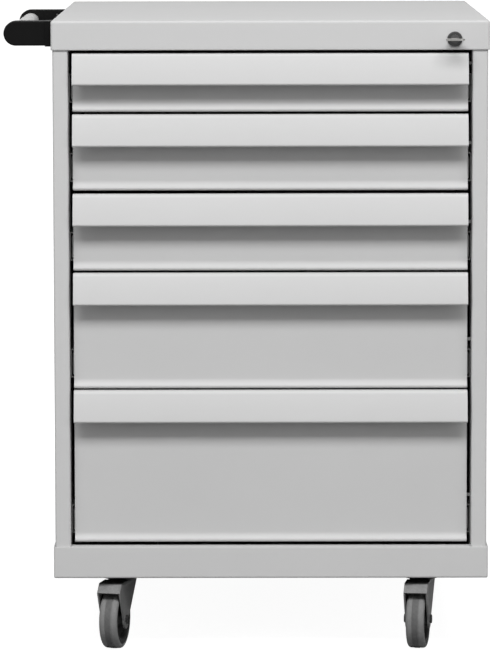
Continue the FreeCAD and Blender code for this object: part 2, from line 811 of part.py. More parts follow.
def all_pieces():
    pieces = {
        "top_cap": top_cap(),
        "right_side": right_side(),
        "left_side": mirrored(right_side()),
        "back_panel": back_panel(),
        "base_pan": base_pan(),
        "castor_channels": castor_channels(),
        "right_uprights": right_uprights(),
        "left_uprights": left_uprights(),
        "right_cabinet_rails": [cabinet_rail(i) for i in range(len(feet))],
        "left_cabinet_rails": [mirrored(cabinet_rail(i)) for i in range(len(feet))],
        "lock_body": lock_body(),
        "lock_nut": lock_nut(),
        "lock_plug": lock_plug(),
        "lock_bar": lock_bar(),
        "lock_key": lock_key(),
        "handle_brackets": handle_brackets(),
        "handle_tube": handle_tube(),
        "handle_screws": handle_screws(),
        "castor_plates": castor_plates(),
        "castor_bolts": castor_bolts(),
    }
    for i in range(len(feet)):
        number = i + 1
        pieces[f"drawer_{number}_tray"] = drawer_tray(i)
        pieces[f"drawer_{number}_front"] = drawer_front(i)
        pieces[f"drawer_{number}_inner_rails"] = both_sides(inner_rail(i))
        pieces[f"drawer_{number}_middle_rails"] = both_sides(middle_rail(i))
    for name in castor_turns:
        braked = name.startswith("rear")
        pieces[f"{name}_fork"] = at_castor(fork(braked), name)
        pieces[f"{name}_axle"] = at_castor(axle(), name)
        pieces[f"{name}_hub"] = at_castor(hub(), name)
        pieces[f"{name}_tyre"] = at_castor(tyre(), name)
        if braked:
            pieces[f"{name}_brake"] = at_castor(brake(), name)
    return pieces


os.makedirs("parts", exist_ok=True)
for name, piece in all_pieces().items():
    shape = Part.makeCompound(piece) if isinstance(piece, list) else piece
    shape = moved(shape, placing.x, placing.y, placing.z)
    solids = len(shape.Solids)
    wanted = len(piece) if isinstance(piece, list) else 1
    if solids != wanted or not shape.isValid():
        raise RuntimeError(f"{name} has {solids} solids and should have {wanted}, valid {shape.isValid()}")
    box = shape.BoundBox
    print(f"{name:24s} {solids:2d} solid, x {box.XMin:8.2f} to {box.XMax:8.2f}, y {box.YMin:8.2f} to"
          f" {box.YMax:8.2f}, z {box.ZMin:8.2f} to {box.ZMax:8.2f}")
    shape.exportStep(f"parts/{name}.step")
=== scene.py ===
# %% [markdown]
# # Rolling tool cabinet: looks around a finished construction
# The construction is already made: every sheet, rail, wheel and bolt comes in at its real size and place.
# This lesson gives those pieces their finishes, makes the bent fronts, forks and tyres in finer form, and
# sets up a soft studio. Everything is in metres: X to the right seen from the front, the drawers open
# towards -Y, and Z is up from the floor.

# %% Load the construction
import json
import math

import bpy
import numpy as np
from mathutils import Matrix, Vector


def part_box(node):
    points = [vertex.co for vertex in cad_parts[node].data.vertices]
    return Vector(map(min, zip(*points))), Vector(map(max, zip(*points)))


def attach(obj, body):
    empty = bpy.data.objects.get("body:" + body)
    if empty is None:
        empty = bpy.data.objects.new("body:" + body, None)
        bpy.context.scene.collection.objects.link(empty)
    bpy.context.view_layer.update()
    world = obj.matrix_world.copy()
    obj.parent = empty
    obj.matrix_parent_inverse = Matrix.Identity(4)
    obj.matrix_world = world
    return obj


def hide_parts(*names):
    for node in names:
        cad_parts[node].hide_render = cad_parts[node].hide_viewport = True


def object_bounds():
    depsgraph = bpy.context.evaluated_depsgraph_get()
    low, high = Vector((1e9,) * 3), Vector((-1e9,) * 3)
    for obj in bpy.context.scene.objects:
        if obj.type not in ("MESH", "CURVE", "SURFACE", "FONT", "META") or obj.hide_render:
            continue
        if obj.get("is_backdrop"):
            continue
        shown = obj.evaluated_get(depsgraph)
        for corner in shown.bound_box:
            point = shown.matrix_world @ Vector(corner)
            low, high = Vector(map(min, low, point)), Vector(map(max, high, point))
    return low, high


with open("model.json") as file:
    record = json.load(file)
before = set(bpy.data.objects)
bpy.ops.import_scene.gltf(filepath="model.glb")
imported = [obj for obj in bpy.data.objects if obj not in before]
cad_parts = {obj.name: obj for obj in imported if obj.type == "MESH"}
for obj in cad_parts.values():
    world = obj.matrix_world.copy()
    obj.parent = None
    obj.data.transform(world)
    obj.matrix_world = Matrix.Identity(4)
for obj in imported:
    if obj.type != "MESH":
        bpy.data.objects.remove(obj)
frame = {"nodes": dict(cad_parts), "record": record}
construction_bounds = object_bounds()
nodes = frame["nodes"]

# %% [markdown]
# The pieces' own boxes give every place that the looks need, so no size is typed twice. The cap's box gives
# the cabinet's front, back, sides and top.

# %% Places read from the construction
MM = 0.001
DRAWERS = range(1, 6)
CASTORS = ("front_left", "front_right", "rear_left", "rear_right")

cap_low, cap_high = [Vector(corner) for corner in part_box("top_cap")]
front_y = cap_low.y
back_y = cap_high.y
middle_x = (cap_low.x + cap_high.x) / 2
top_z = cap_high.z
print("cabinet from x", round(cap_low.x, 4), "to", round(cap_high.x, 4), "and top at", round(top_z, 4))

# %% [markdown]
# ## A small language for finishes
# A finish is a tree of shader nodes. Written by hand, a tree is a long list of links that nobody reads.
# Here a socket is wrapped in a small class, so that sums on values read as sums: `1 - mask * 0.3` adds the
# Math nodes by itself. Every other node comes from one method, which takes the node's kind, its settings and
# what goes into its sockets.

# %% Values and finishes
class Value:
    """One output of a node. Sums with other values or numbers add Math nodes."""

    def __init__(self, nodes, socket):
        self.nodes = nodes
        self.socket = socket

    def math(self, operation, first, second):
        return self.nodes.node("ShaderNodeMath", {"operation": operation}, {0: first, 1: second})

    def __add__(self, other):
        return self.math("ADD", self, other)

    def __radd__(self, other):
        return self.math("ADD", other, self)

    def __sub__(self, other):
        return self.math("SUBTRACT", self, other)

    def __rsub__(self, other):
        return self.math("SUBTRACT", other, self)

    def __mul__(self, other):
        return self.math("MULTIPLY", self, other)

    def __rmul__(self, other):
        return self.math("MULTIPLY", other, self)


class Nodes:
    """A node tree that new nodes are added to."""

    def __init__(self, tree):
        self.tree = tree

    def feed(self, socket, value):
        """Links a value to a socket, or writes a number or colour into it."""
        if isinstance(value, Value):
            self.tree.links.new(value.socket, socket)
        else:
            socket.default_value = value

    def node(self, kind, settings=None, inputs=None, output=0):
        """Adds a node of a kind: its settings first, then its sockets. Gives one of its outputs."""
        made = self.tree.nodes.new(kind)
        for key, value in (settings or {}).items():
            if key == "stops":
                while len(made.color_ramp.elements) < len(value):
                    made.color_ramp.elements.new(1.0)
                for element, (position, height) in zip(made.color_ramp.elements, value):
                    element.position = position
                    element.color = grey(height)
            else:
                setattr(made, key, value)
        for key, value in (inputs or {}).items():
            self.feed(made.inputs[key], value)
        return Value(self, made.outputs[output])


class Finish(Nodes):
    """A material, its node tree and its Principled shader."""

    def __init__(self, name, **constants):
        self.material = bpy.data.materials.new(name)
        self.material.use_nodes = True
        super().__init__(self.material.node_tree)
        self.surface = self.tree.nodes["Principled BSDF"]
        for socket, value in constants.items():
            self.feed(self.surface.inputs[socket.replace("_", " ")], value)

    def place(self, scale=(1.0, 1.0, 1.0)):
        """Object coordinates, stretched by a scale along each axis."""
        here = self.node("ShaderNodeTexCoord", output="Object")
        return self.node("ShaderNodeMapping", {"vector_type": "POINT"}, {"Vector": here, "Scale": scale})

    def noise(self, scale, detail=2.0, roughness=0.5, stretch=(1.0, 1.0, 1.0)):
        """Soft noise between 0 and 1, with `scale` waves to the metre."""
        return self.node("ShaderNodeTexNoise", {"noise_dimensions": "3D"},
                         {"Vector": self.place(stretch), "Scale": scale, "Detail": detail,
                          "Roughness": roughness})

    def ramp(self, value, *stops):
        """A value bent by straight steps: pairs of position and height."""
        return self.node("ShaderNodeValToRGB", {"stops": stops}, {"Fac": value})

    def mix(self, factor, first, second):
        """A colour between two colours."""
        return self.node("ShaderNodeMix", {"data_type": "RGBA"}, {0: factor, 6: first, 7: second}, output=2)

    def bump(self, height, distance, strength=1.0, edge=0.0):
        """Tilts the normal by a height, 0 to 1, of `distance` metres. `edge` rounds sharp edges."""
        sockets = {"Height": height, "Distance": distance, "Strength": strength}
        if edge:
            sockets["Normal"] = self.node("ShaderNodeBevel", {"samples": 4}, {"Radius": edge})
        self.feed(self.surface.inputs["Normal"], self.node("ShaderNodeBump", inputs=sockets))


def grey(level):
    """A neutral colour as red, green, blue and alpha."""
    return (level, level, level, 1.0)


def tinted(level, red, green, blue):
    """A level of grey with a slight tint, given as shares of the level."""
    return (level * red, level * green, level * blue, 1.0)


print("a cool grey:", [round(share, 3) for share in tinted(0.5, 0.90, 0.92, 0.94)])

# %% [markdown]
# ## Powder coat
# The cabinet is sheet steel under a light grey powder coat. Powder melts and levels in an oven, which
# leaves a faint orange peel about a millimetre across. The recessed faces under the grip lips are painted
# a little darker as shade. A flat grey would look like plastic film, so the colour drifts by a percent or
# two over a hand's width, the gloss varies a little where the sheet has been handled, and the peel is a bump
# of a few hundredths of a millimetre. A rounded normal stands for the radius that the coat leaves on every
# cut edge, and for the wider bend of the cap and the base.

# %% Powder coat
def powder_coat(name, level, edge=0.7):
    """Light grey coat: slow drift in tone, patches of gloss, fine orange peel, painted shade under grip lips.
    """
    coat = Finish(name, Specular_IOR_Level=0.35)
    drift = coat.noise(4.0, detail=3.0)
    patches = coat.noise(22.0, detail=4.0, roughness=0.6)
    speck = coat.noise(1400.0, detail=1.0)
    tone = coat.ramp(drift * 0.7 + patches * 0.3, (0.3, 0.0), (0.7, 1.0))
    # Painted shade: points marked as lying under a grip lip take a grey a little over a tenth darker.
    recess = coat.node("ShaderNodeAttribute", {"attribute_name": "recess"}, output="Fac")
    full = coat.mix(tone, grey(level * 0.985), grey(level * 1.015))
    lip_shade_tone = coat.mix(tone, grey(level * 0.875), grey(level * 0.905))
    coat.feed(coat.surface.inputs["Base Color"], coat.mix(recess, full, lip_shade_tone))
    coat.feed(coat.surface.inputs["Roughness"], 0.42 + patches * 0.12 + speck * 0.05)
    peel = coat.noise(850.0, detail=2.0)
    coat.bump(peel, 0.04 * MM, strength=0.55, edge=edge * MM)
    return coat.material


BODY_GREY = 0.60
body_coat = powder_coat("light_grey_coat", BODY_GREY)
folded_coat = powder_coat("folded_grey_coat", BODY_GREY, edge=2.6)
inner_coat = powder_coat("inner_grey_coat", BODY_GREY * 0.95)
print("powder coat at level", BODY_GREY)

# %% [markdown]
# ## Zinc plate
# Rails, uprights, the base's channels and the lock's bar are zinc plated. The plate is a dull mirror with a
# faint drawing grain along the rail, which is a noise stretched far along Y, and cloudy patches.

# %% Zinc plate
def zinc_plate(name, level):
    """Bright zinc: metallic, grain along Y, cloudy patches."""
    zinc = Finish(name, Metallic=1.0)
    clouds = zinc.noise(30.0, detail=4.0, roughness=0.65)
    grain = zinc.noise(900.0, detail=2.0, stretch=(1.0, 0.02, 1.0))
    zinc.feed(zinc.surface.inputs["Base Color"],
              zinc.mix(clouds, tinted(level, 0.90, 0.92, 0.94), tinted(level, 1.08, 1.08, 1.05)))
    zinc.feed(zinc.surface.inputs["Roughness"], 0.36 + clouds * 0.18 + grain * 0.10)
    zinc.bump(grain, 0.02 * MM, strength=0.4, edge=0.4 * MM)
    return zinc.material


ZINC_LEVEL = 0.42
zinc = zinc_plate("zinc_plate", ZINC_LEVEL)
print("zinc plate at level", ZINC_LEVEL)

# %% [markdown]
# ## Lock and key
# The lock is satin nickel, turned on a lathe, so fine circles run about its axis. The key is stamped from
# sheet and plated, with tiny scratches every way.

# %% Nickel and key metal
RING_PITCH = 0.35 * MM


def turned_nickel(name, level, centre):
    """Satin nickel with fine lathe circles about an axis along Y through a centre."""
    metal = Finish(name, Metallic=1.0)
    here = metal.node("ShaderNodeTexCoord", output="Object")
    about = metal.node("ShaderNodeMapping", {"vector_type": "POINT"},
                       {"Vector": here, "Location": (-centre[0], -centre[1], -centre[2])})
    flat = metal.node("ShaderNodeVectorMath", {"operation": "MULTIPLY"}, {0: about, 1: (1.0, 0.0, 1.0)})
    reach = metal.node("ShaderNodeVectorMath", {"operation": "LENGTH"}, {0: flat}, output="Value")
    rings = metal.node("ShaderNodeMath", {"operation": "SINE"}, {0: reach * (2 * math.pi / RING_PITCH)})
    smear = metal.noise(400.0, detail=3.0)
    metal.feed(metal.surface.inputs["Base Color"], metal.mix(smear, grey(level * 0.85), grey(level * 1.1)))
    metal.feed(metal.surface.inputs["Roughness"], 0.24 + smear * 0.18)
    metal.bump(rings * 0.5 + smear, 0.02 * MM, strength=0.3, edge=0.3 * MM)
    return metal.material


def stamped_plate(name, level):
    """Plated stamped sheet with fine scratches every way."""
    metal = Finish(name, Metallic=1.0)
    scratches = metal.noise(500.0, detail=6.0, roughness=0.8, stretch=(1.0, 1.0, 0.15))
    wear = metal.noise(120.0, detail=4.0)
    metal.feed(metal.surface.inputs["Base Color"],
               metal.mix(wear, tinted(level, 1.0, 0.985, 0.95), tinted(level, 1.1, 1.09, 1.06)))
    metal.feed(metal.surface.inputs["Roughness"], 0.22 + scratches * 0.25)
    metal.bump(scratches, 0.03 * MM, strength=0.35, edge=0.3 * MM)
    return metal.material


lock_low, lock_high = [Vector(corner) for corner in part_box("lock_body")]
lock_centre = (lock_low + lock_high) / 2
nickel = turned_nickel("dark_nickel", 0.085, lock_centre)
core_nickel = turned_nickel("core_nickel", 0.13, lock_centre)
key_metal = stamped_plate("key_plate", 0.42)
print("lock centre:", [round(number, 4) for number in lock_centre])

# %% [markdown]
# ## Black brackets, dark castors and grey tyres
# The handle's brackets are moulded in black plastic with a fine spark grain, and its tube is coated like the
# cabinet. The castor forks carry a dark coat, smooth and a little glossy, and painted near black as shade
# above their crowns, under the base, where they meet the swivel heads. The tyres are grey rubber: matt,
# mottled with dust, and darker on the band that runs on the floor.

# %% Plastic, dark coat and rubber
def moulded_plastic(name, level, grain):
    """Moulded plastic: fine spark grain, gloss worn a little uneven."""
    plastic = Finish(name, Specular_IOR_Level=0.085)
    sparks = plastic.noise(grain, detail=2.0, roughness=0.6)
    hands = plastic.noise(40.0, detail=3.0)
    plastic.feed(plastic.surface.inputs["Base Color"],
                 plastic.mix(hands * 0.6 + sparks * 0.4, grey(level * 0.8), grey(level * 1.25)))
    plastic.feed(plastic.surface.inputs["Roughness"], 0.42 + hands * 0.12)
    plastic.bump(sparks, 0.04 * MM, strength=0.6, edge=0.8 * MM)
    return plastic.material


# Heights over which painted shade under the base turns the dark coat near black.
CROWN_SHADE_FROM, CROWN_SHADE_TO = 84.8 * MM, 86.5 * MM
BAND_FROM, BAND_TO = 2.6, 5.0


def dark_coat(name, level):
    """Dark coat on pressed steel: smooth, with dull patches and fine dust, and painted shade: near black
    above a height.
    """
    coat = Finish(name, Specular_IOR_Level=0.5)
    patches = coat.noise(60.0, detail=4.0, roughness=0.6)
    dust = coat.noise(700.0, detail=3.0)
    dusting = coat.ramp(patches * 0.5 + dust * 0.5, (0.4, 0.0), (0.7, 1.0))
    dusty = coat.mix(dusting, grey(level), grey(level * 1.6))
    # Painted shade: above the fork's crown, in the shade under the base, the coat turns near black.
    here = coat.node("ShaderNodeTexCoord", output="Object")
    height = coat.node("ShaderNodeSeparateXYZ", inputs={0: here}, output="Z")
    crown_shade = coat.node("ShaderNodeMapRange", {"interpolation_type": "SMOOTHSTEP"},
                       {"Value": height, "From Min": CROWN_SHADE_FROM, "From Max": CROWN_SHADE_TO})
    coat.feed(coat.surface.inputs["Base Color"], coat.mix(crown_shade, dusty, grey(level * 0.12)))
    coat.feed(coat.surface.inputs["Roughness"], 0.30 + patches * 0.16)
    coat.bump(dust, 0.03 * MM, strength=0.4, edge=0.8 * MM)
    return coat.material


def grey_rubber(name, level):
    """Solid grey rubber: matt, mottled with scuffs and light dust."""
    rubber = Finish(name, Specular_IOR_Level=0.3)
    scuff = rubber.noise(180.0, detail=5.0, roughness=0.7)
    fine = rubber.noise(1500.0, detail=2.0)
    tone = rubber.ramp(scuff * 0.65 + fine * 0.35, (0.35, 0.0), (0.68, 1.0))
    across = rubber.node("ShaderNodeAttribute", {"attribute_name": "across"}, output="Fac")
    apart = rubber.node("ShaderNodeMath", {"operation": "ABSOLUTE"}, {0: across})
    outer = rubber.node("ShaderNodeMapRange", {"interpolation_type": "SMOOTHSTEP"},
                        {"Value": apart, "From Min": BAND_FROM, "From Max": BAND_TO})
    worn = rubber.mix(tone, grey(level * 0.48), grey(level * 0.75))
    clean = rubber.mix(tone, grey(level * 0.95), grey(level * 1.3))
    rubber.feed(rubber.surface.inputs["Base Color"], rubber.mix(outer, worn, clean))
    rubber.feed(rubber.surface.inputs["Roughness"], 0.58 + scuff * 0.2)
    rubber.bump(scuff * 0.6 + fine * 0.4, 0.08 * MM, strength=0.5, edge=0.6 * MM)
    return rubber.material


black_plastic = moulded_plastic("black_plastic", 0.005, grain=1600.0)
hub_plastic = moulded_plastic("hub_plastic", 0.03, grain=1200.0)
fork_coat = dark_coat("dark_fork_coat", 0.175)
# Painted shade: swivel heads, castor plates, bolts and axles are coated near black where they sit in shade
# under the base.
swivel_shade_coat = dark_coat("painted_shade_black_coat", 0.02)
tyre_rubber = grey_rubber("grey_rubber", 0.188)
tube_coat = powder_coat("tube_coat", 0.58)
print("materials so far:", len(bpy.data.materials))

# %% [markdown]
# ## Who wears what
# Every piece of the construction has its own material slots. A table from piece to finish fills them, and
# the last line counts them, so that none is forgotten. The castors' plates, bolts and axles sit in shade
# under the base, so they wear the near-black coat of the swivel heads, which is painted shade.

# %% Give every construction piece its finish
finishes = {
    "top_cap": folded_coat, "right_side": body_coat, "left_side": body_coat, "back_panel": body_coat,
    "base_pan": folded_coat, "castor_channels": zinc, "right_uprights": zinc, "left_uprights": zinc,
    "right_cabinet_rails": zinc, "left_cabinet_rails": zinc, "lock_body": nickel, "lock_nut": nickel,
    "lock_plug": core_nickel, "lock_bar": zinc, "lock_key": key_metal,
    "handle_brackets": black_plastic, "handle_tube": tube_coat,
    "handle_screws": fork_coat, "castor_plates": swivel_shade_coat, "castor_bolts": swivel_shade_coat,
}
for number in DRAWERS:
    finishes[f"drawer_{number}_front"] = body_coat
    finishes[f"drawer_{number}_tray"] = inner_coat
    finishes[f"drawer_{number}_inner_rails"] = zinc
    finishes[f"drawer_{number}_middle_rails"] = zinc
for castor in CASTORS:
    finishes[f"{castor}_fork"] = fork_coat
    finishes[f"{castor}_axle"] = swivel_shade_coat
    finishes[f"{castor}_hub"] = hub_plastic
    finishes[f"{castor}_tyre"] = tyre_rubber
    if castor.startswith("rear"):
        finishes[f"{castor}_brake"] = fork_coat
for name, material in finishes.items():
    for slot in nodes[name].material_slots:
        slot.material = material
print("pieces with a finish:", len(finishes), "of", len(nodes))

# %% [markdown]
# ## Meshes from arrays
# The pieces made here are surfaces over a grid of points: one number runs along a section, the other along
# or round the piece. A closed section swept from one place to another gives a closed skin. Whether its
# faces look outward shows in the sign of the volume that they enclose, so that is measured and put right.

# %% Grids, rounded paths and pieces
SHARP_FROM = math.radians(35)


def grid_faces(rows, columns, closed_rows):
    """Four-sided faces over a grid of points whose columns run round. Rows run round too when closed."""
    used_rows = np.arange(rows if closed_rows else rows - 1)
    row, column = np.meshgrid(used_rows, np.arange(columns), indexing="ij")
    below, beside = (row + 1) % rows, (column + 1) % columns
    return np.stack([row * columns + column, row * columns + beside, below * columns + beside,
                     below * columns + column], axis=-1).reshape(-1, 4)


def enclosed(points, faces):
    """The volume inside: a sixth of the sum of a . (b x c) over the triangles a, b, c of all faces."""
    a, b, c, d = [points[faces[:, i]] for i in range(4)]
    return float((np.cross(b, c) * a).sum() + (np.cross(c, d) * a).sum()) / 6


def piece(name, points, faces, finish, body, stands_for):
    """A finished mesh that rides on a body, and may stand for a construction piece."""
    if enclosed(points, faces) < 0:
        faces = faces[:, ::-1]
    mesh = bpy.data.meshes.new(name)
    mesh.from_pydata(points.tolist(), [], faces.tolist())
    mesh.materials.append(finish)
    mesh.shade_smooth()
    mesh.set_sharp_from_angle(angle=SHARP_FROM)
    made = bpy.data.objects.new(name, mesh)
    bpy.context.scene.collection.objects.link(made)
    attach(made, body)
    if stands_for:
        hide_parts(stands_for)
    return made


def rounded(corners, radii, steps=8):
    """A path with arcs at its inner corners. An arc touches both sides at radius / tan(half the angle
    between them), and its points are spread evenly over its turn."""
    corners = np.array(corners, float)
    path = [corners[:1]]
    share = np.linspace(0, 1, steps)[:, None]
    for before, here, after, radius in zip(corners, corners[1:], corners[2:], radii):
        towards = (before - here) / np.linalg.norm(before - here)
        away = (after - here) / np.linalg.norm(after - here)
        half = math.acos(towards @ away) / 2
        inward = (towards + away) / np.linalg.norm(towards + away)
        centre = here + inward * radius / math.sin(half)
        start = here + towards * radius / math.tan(half) - centre
        end = here + away * radius / math.tan(half) - centre
        turn = math.pi - 2 * half
        arc = (np.sin((1 - share) * turn) * start + np.sin(share * turn) * end) / math.sin(turn)
        path.append(centre + arc)
    path.append(corners[-1:])
    return np.concatenate(path)


def folded_strip_ends(count, first):
    """Faces over both ends of a swept sheet: each point of the path with its partner on the other skin."""
    strip = np.arange(count // 2 - 1)
    near = np.stack([strip, strip + 1, count - 2 - strip, count - 1 - strip], axis=1)
    return np.concatenate([near, near[:, ::-1] + first])


corner = rounded([(0, 0), (2, 0), (2, 2)], [1.0], steps=3)
print("a corner rounded by one:", corner.round(2).tolist())

# %% [markdown]
# ## Drawer fronts
# Each front is one sheet of 1.5 mm steel. Seen from the side it starts with a short return at the foot of
# the grip lip, climbs the lip, bends back over the top with a radius of 5 mm, drops down the recessed face,
# and swings out to a rounded foot. The wide bends matter: they catch a bright line along the top of each lip
# and a soft band along each foot. The path is offset to its right by the sheet's thickness, and the closed
# section is swept across the drawer. Some drawers hang a little low, so the gaps under them are narrower
# than the others. The recessed face under each lip is painted darker as shade: fully on the three low
# fronts, and at about half strength on the two tall ones.

# %% Drawer fronts
SHEET = 1.5
FOOT_DROP_MM = {1: 0.9, 2: 0.0, 3: 1.3, 4: 2.0, 5: -0.6}
# Strength of the painted shade on the face under each drawer's lip.
LIP_SHADE_STRENGTH = {1: 1.0, 2: 1.0, 3: 1.0, 4: 0.5, 5: 0.45}
LIP_PROUD, LIP_RETURN, LIP_LEAN, LIP_DROP = 1.5, 5.0, 8.0, 40.0
FOOT_RISE, FOOT_SWING = 7.5, 4.6
FRONT_BENDS = (2.4, 5.0, 2.5, 14.0, 1.3)
SIDE_GAP = 1.0
LIP_SHADE_FROM, LIP_SHADE_RUN, LIP_SHADE_BELOW_HEAD = 13.0, 7.0, 5


def sheet_section(path):
    """The closed section of a sheet: a path, and the same path moved to its right by the thickness."""
    steps = np.diff(path, axis=0)
    steps /= np.linalg.norm(steps, axis=1)[:, None]
    along = np.concatenate([steps[:1], steps[:-1] + steps[1:], steps[-1:]])
    along /= np.linalg.norm(along, axis=1)[:, None]
    right = np.stack([along[:, 1], -along[:, 0]], axis=1)
    return np.concatenate([path, (path + right * SHEET)[::-1]])


def drawer_front(number):
    """One front: x runs from side to side, while y and z follow the sheet's section. All in one array."""
    low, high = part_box(f"drawer_{number}_front")
    lip_y, back = -LIP_PROUD, (high.y - low.y) / MM
    head = (high.z - low.z) / MM
    foot = -FOOT_DROP_MM[number] + SHEET
    lip_foot = head - LIP_DROP
    corners = [(lip_y + LIP_RETURN, lip_foot), (lip_y, lip_foot), (LIP_LEAN, head), (back, head),
               (back, foot + FOOT_RISE), (back - FOOT_SWING, foot), (back, foot)]
    section = sheet_section(rounded(corners, FRONT_BENDS))
    middle, half = (low.x + high.x) / 2, (high.x - low.x) / 2 - SIDE_GAP * MM
    count = len(section)
    points = np.zeros((2, count, 3))
    points[:, :, 0] = np.array([middle - half, middle + half])[:, None]
    points[:, :, 1] = low.y + section[:, 0] * MM
    points[:, :, 2] = low.z + section[:, 1] * MM
    faces = np.concatenate([grid_faces(2, count, closed_rows=False), folded_strip_ends(count, count)])
    made = piece(f"front_{number}", points.reshape(-1, 3), faces, body_coat,
                 f"drawer_{number}", f"drawer_{number}_front")
    # Painted shade: the recessed face, behind the lip and below its top, is marked for the darker coat.
    lip_shade_share = np.clip((section[:, 0] - LIP_SHADE_FROM) / LIP_SHADE_RUN, 0, 1)
    lip_shade_share = lip_shade_share * (section[:, 1] < head - LIP_SHADE_BELOW_HEAD) * LIP_SHADE_STRENGTH[number]
    recess = made.data.attributes.new("recess", "FLOAT", "POINT")
    recess.data.foreach_set("value", np.tile(lip_shade_share, 2).astype(np.float32))
    return made


fronts = [drawer_front(number) for number in DRAWERS]
print("fronts:", [len(front.data.polygons) for front in fronts])

# %% [markdown]
# ## Tyres
# A tyre is a section turned about the axle: a barrel-like tread with soft shoulders, a band in the middle
# that stands proud, a fine groove on either side of it, and flat sides down to the rim. The band has run on
# workshop floors, so it is darker than the rest. The distance across the tread is kept with each point, and
# the rubber's finish reads it.

# %% Tyres
JOINTS = {joint["name"]: joint for joint in frame["record"]["behaviour"]["joints"]}
TREAD_HALF, TREAD_RIM, TREAD_REACH = 11.75, 32.0, 37.5
TREAD_BENDS = (0.2, 0.2, 0.2, 0.3, 2.0, 2.4, 1.5)
TYRE_TURNS = 96


def tyre_section(half, rim, reach):
    """Half-tread corners as (across, radius) in millimetres, mirrored to a closed section."""
    right = [(0.0, reach), (3.4, reach), (3.8, reach - 0.7), (4.6, reach - 0.7), (5.0, reach - 0.3),
             (half - 3.4, reach - 0.5), (half - 1.2, reach - 1.5), (half, reach - 3.8), (half, rim)]
    right = rounded(right, TREAD_BENDS, steps=4)
    left = right[1:-1][::-1] * (-1, 1)
    return np.concatenate([right, [(-half, rim)], left])


def tyre(castor):
    """The tyre's section turned about the axle: centre + across * axle + radius * (forward, up)."""
    joint = JOINTS[f"{castor}_wheel_roll"]
    centre, axle = np.array(joint["pos_m"]), np.array(joint["axis"])
    section = tyre_section(TREAD_HALF, TREAD_RIM, TREAD_REACH)
    turns = np.linspace(0, 2 * math.pi, TYRE_TURNS, endpoint=False)
    forward = np.cross(axle, (0.0, 0.0, 1.0))
    out = np.cos(turns)[:, None] * forward + np.sin(turns)[:, None] * np.array((0.0, 0.0, 1.0))
    points = centre + (section[None, :, :1] * axle + section[None, :, 1:] * out[:, None, :]) * MM
    faces = grid_faces(TYRE_TURNS, len(section), closed_rows=True)
    made = piece(f"{castor}_tread", points.reshape(-1, 3), faces, tyre_rubber,
                 f"{castor}_wheel", f"{castor}_tyre")
    across = made.data.attributes.new("across", "FLOAT", "POINT")
    across.data.foreach_set("value", np.tile(section[:, 0], TYRE_TURNS).astype(np.float32))
    return made


treads = [tyre(castor) for castor in CASTORS]
print("treads:", [len(tread.data.polygons) for tread in treads])

# %% [markdown]
# ## Forks
# A fork is one sheet folded down on both sides of the wheel. Across the castor its section is an
# upside-down U with rounded shoulders. Going down a leg, the sheet's front and rear edges close in on the
# axle, where it ends in a round tip. So the surface is a grid: one number runs along the U from tip to tip,
# the other from the rear edge to the front edge at that height. On a rear fork the front edge swells round
# the brake's pin. A front fork also carries a hood: the crown's sheet running on over the wheel and bent
# down before it.

# %% Forks
CROWN, AXLE_Z, TIP = 86.6, 37.5, 12.0
LEG_OUT, FORK_SHEET, FORK_BEND = 15.25, 2.0, 6.0
TRAIL, REAR_EDGE, REAR_DROP = -30.0, 25.0, 3
HOOD_BEND, HOOD_EDGE, HOOD_FOOT = -49.0, -60.0, 74.5
HOOD_START, HOOD_BELOW_CROWN, HOOD_INSET = -22.0, 1.6, 0.3
PIN_REACH, PIN_ANGLE, PIN_BOSS = 45.5, math.radians(48), 5.5
LEG_ROWS, FORK_COLUMNS = 60, 7


def at_castor(castor, across, along, height):
    """Points from millimetres about a castor: origin + across * axle + along * back + height * up."""
    swivel, wheel = JOINTS[f"{castor}_swivel_turn"], JOINTS[f"{castor}_wheel_roll"]
    axle = np.array(wheel["axis"])
    back = np.array((-axle[1], axle[0], 0.0))
    origin = np.array((swivel["pos_m"][0], swivel["pos_m"][1], 0.0))
    up = np.array((0.0, 0.0, 1.0))
    return origin + (across[..., None] * axle + along[..., None] * back + height[..., None] * up) * MM


def leg_edges(height, braked):
    """The sheet's front and rear edge at a height: sides that lean in, and a circle round the axle."""
    inside = np.sqrt(np.clip(TIP ** 2 - np.minimum(height - AXLE_Z, 0) ** 2, 0, None))
    share = np.clip((height - AXLE_Z) / (HOOD_FOOT - AXLE_Z), 0, 1)
    front = TRAIL - inside + share * (HOOD_EDGE - TRAIL + TIP)
    above = HOOD_EDGE + (HOOD_BEND - HOOD_EDGE) * (height - HOOD_FOOT) / (CROWN - HOOD_FOOT)
    front = np.where(height > HOOD_FOOT, above, front)
    if braked:
        pin_y = TRAIL - PIN_REACH * math.cos(PIN_ANGLE)
        pin_z = AXLE_Z + PIN_REACH * math.sin(PIN_ANGLE)
        boss = pin_y - np.sqrt(np.clip(PIN_BOSS ** 2 - (height - pin_z) ** 2, 0, None))
        front = np.where(np.abs(height - pin_z) < PIN_BOSS, np.minimum(front, boss), front)
    rear_share = np.clip((height - AXLE_Z) / (CROWN - REAR_DROP - AXLE_Z), 0, 1)
    rear = TRAIL + inside + rear_share * (REAR_EDGE - TRAIL - TIP)
    return front, rear


